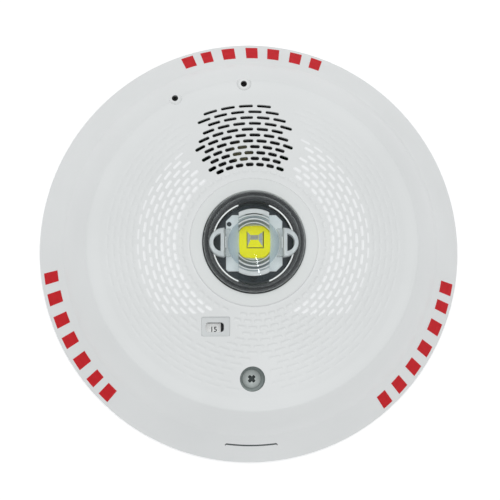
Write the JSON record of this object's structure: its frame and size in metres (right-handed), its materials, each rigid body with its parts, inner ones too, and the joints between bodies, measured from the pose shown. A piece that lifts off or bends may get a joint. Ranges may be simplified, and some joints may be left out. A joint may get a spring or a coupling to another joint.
{
  "type": "ceiling horn strobe",
  "caption": "Round white ceiling notification appliance with a clear domed LED strobe and a piezo horn behind a slotted grille, hinged on a mounting plate.",
  "frame": {"origin": "on the lens axis, at the back face of the mounting plate", "axes": "+Z out of the lens, away from the ceiling; +Y from the lens towards the horn grille and the hooks; -Y side has the fixing screw"},
  "size_m": [0.1728, 0.1728, 0.064],
  "materials": {
    "cover_white": "moulded white, light satin gloss",
    "plate_white": "moulded off-white plastic",
    "black_plastic": "moulded black plastic",
    "zinc": "zinc plated steel, grey-green",
    "contact_brass": "rolled brass sheet",
    "clear_lens": "clear moulded polycarbonate, polished",
    "black_rubber": "soft black sealing foam and rubber",
    "phosphor": "yellow phosphor coating",
    "led_plate": "light grey reflective ceramic",
    "led_board_dark": "dark solder mask on aluminium board",
    "heat_sink_aluminium": "extruded aluminium, bare",
    "ceramic_white": "silvered piezo ceramic",
    "board_green": "green solder mask",
    "capacitor_sleeve": "dark blue shrink sleeve",
    "inductor_winding": "ferrite and enamelled winding",
    "header_cream": "cream moulded plastic",
    "slide_white": "white moulded plastic with printed numbers"
  },
  "bodies": {
    "plate": {"mounting_plate": "plate_white", "terminal_block": "black_plastic", "terminal_screw_1": "zinc", "terminal_screw_2": "zinc", "terminal_screw_3": "zinc", "terminal_screw_4": "zinc", "clamp_plate_1": "zinc", "clamp_plate_2": "zinc", "clamp_plate_3": "zinc", "clamp_plate_4": "zinc", "contact_spring_1": "contact_brass", "contact_spring_2": "contact_brass", "contact_spring_3": "contact_brass", "contact_spring_4": "contact_brass", "shorting_spring": "contact_brass"},
    "head": {"front_cover": "cover_white", "screw_well": "cover_white", "rear_cover": "cover_white", "cover_screw_1": "zinc", "cover_screw_2": "zinc", "cover_screw_3": "zinc", "cover_screw_4": "zinc", "lens_dome": "clear_lens", "lens_gasket": "black_rubber", "lens_frame": "black_plastic", "cross_optic": "clear_lens", "led_optic": "clear_lens", "led_phosphor": "phosphor", "reflector_plate": "led_plate", "led_board": "led_board_dark", "led_screw_1": "zinc", "led_screw_2": "zinc", "heat_sink": "heat_sink_aluminium", "horn_body": "black_plastic", "piezo_disc": "contact_brass", "piezo_ceramic": "ceramic_white", "horn_gasket": "black_rubber", "main_board": "board_green", "capacitor_1": "capacitor_sleeve", "capacitor_2": "capacitor_sleeve", "capacitor_3": "capacitor_sleeve", "inductor": "inductor_winding", "controller_chip": "black_plastic", "board_header": "header_cream", "contact_blade_1": "contact_brass", "contact_blade_2": "contact_brass", "contact_blade_3": "contact_brass", "contact_blade_4": "contact_brass", "candela_switch_body": "black_plastic", "tone_switch_body": "black_plastic"},
    "screw_collar": {"retaining_washer": "black_rubber"},
    "screw": {"mounting_screw": "zinc"},
    "candela_selector": {"candela_slide": "slide_white"},
    "tone_selector": {"tone_dial": "header_cream"}
  },
  "joints": [
    {"name": "head_swing", "type": "hinge", "parent": "plate", "child": "head", "pos_m": [0, 0.0864, 0.0006], "axis": [-1, 0, 0], "range_deg": [0, 10]},
    {"name": "screw_lift", "type": "slide", "parent": "head", "child": "screw_collar", "axis": [0, 0, 1], "range_m": [0, 0.0065]},
    {"name": "screw_turn", "type": "hinge", "parent": "screw_collar", "child": "screw", "pos_m": [-0.00045, -0.052, 0], "axis": [0, 0, 1], "range_deg": [0, 1465]},
    {"name": "candela_travel", "type": "slide", "parent": "head", "child": "candela_selector", "axis": [0, 1, 0], "range_m": [0, 0.0204]},
    {"name": "tone_turn", "type": "hinge", "parent": "head", "child": "tone_selector", "pos_m": [0.026, -0.038, 0], "axis": [0, 0, 1], "continuous": true}
  ],
  "couplings": [
    {"joint": "screw_turn", "follows": "screw_lift", "rad_per_m": 3927}
  ]
}
